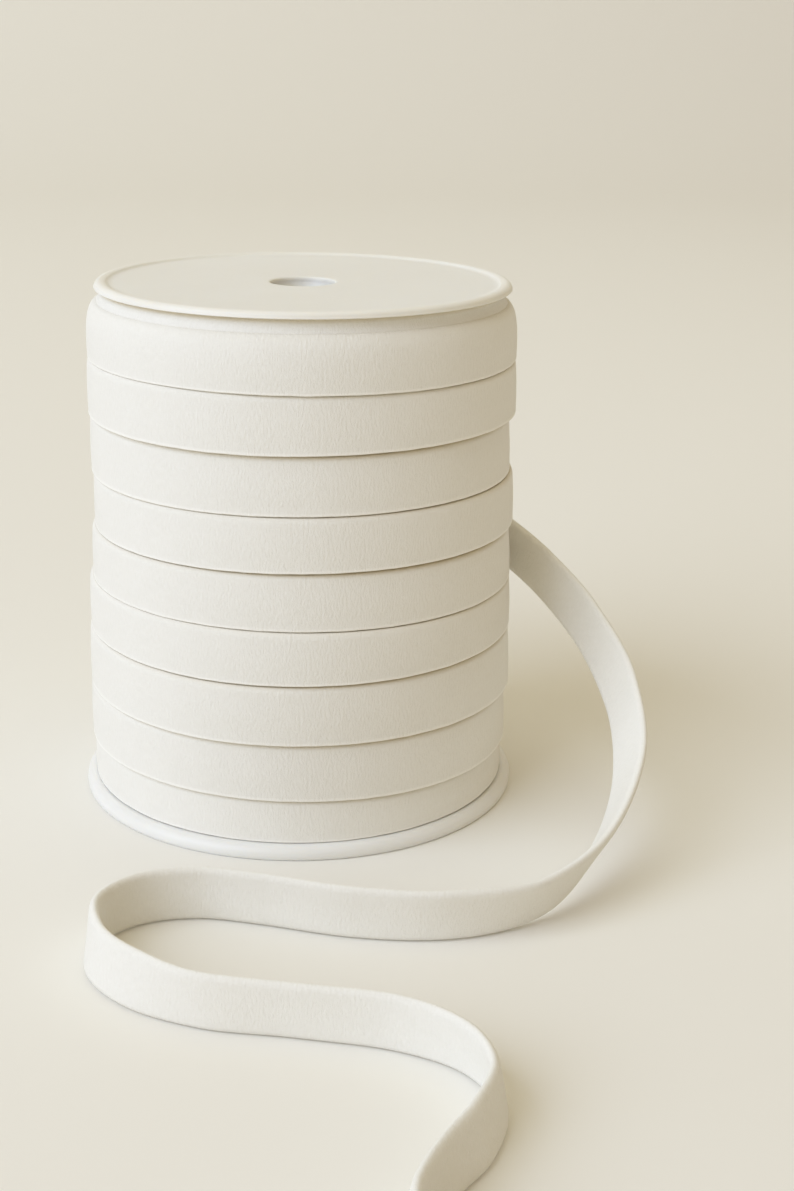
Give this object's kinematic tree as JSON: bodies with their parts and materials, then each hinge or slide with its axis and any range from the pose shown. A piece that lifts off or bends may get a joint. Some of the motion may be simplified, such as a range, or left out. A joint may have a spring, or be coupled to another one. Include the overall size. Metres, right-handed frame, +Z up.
{
  "type": "roll of elastic on a spool",
  "caption": "Flanged spool wound with even rows of flat elastic, standing on end, with one loose end trailing over the surface in front.",
  "frame": {"origin": "on the surface that the spool stands on, under the spool's axis", "axes": "+Z up along the spool's axis, -Y towards the viewer, where the loose end runs"},
  "size_m": [0.1033, 0.2072, 0.0973],
  "materials": {
    "spool_top": "satin moulded plastic",
    "spool_base": "satin moulded plastic",
    "core": "plain moulded plastic",
    "elastic": "matte ribbed knit"
  },
  "bodies": {
    "root": {"bottom_flange": "spool_base", "top_flange": "spool_top", "core_tube": "core", "wound_elastic": "elastic", "loose_end": "elastic"}
  },
  "joints": []
}
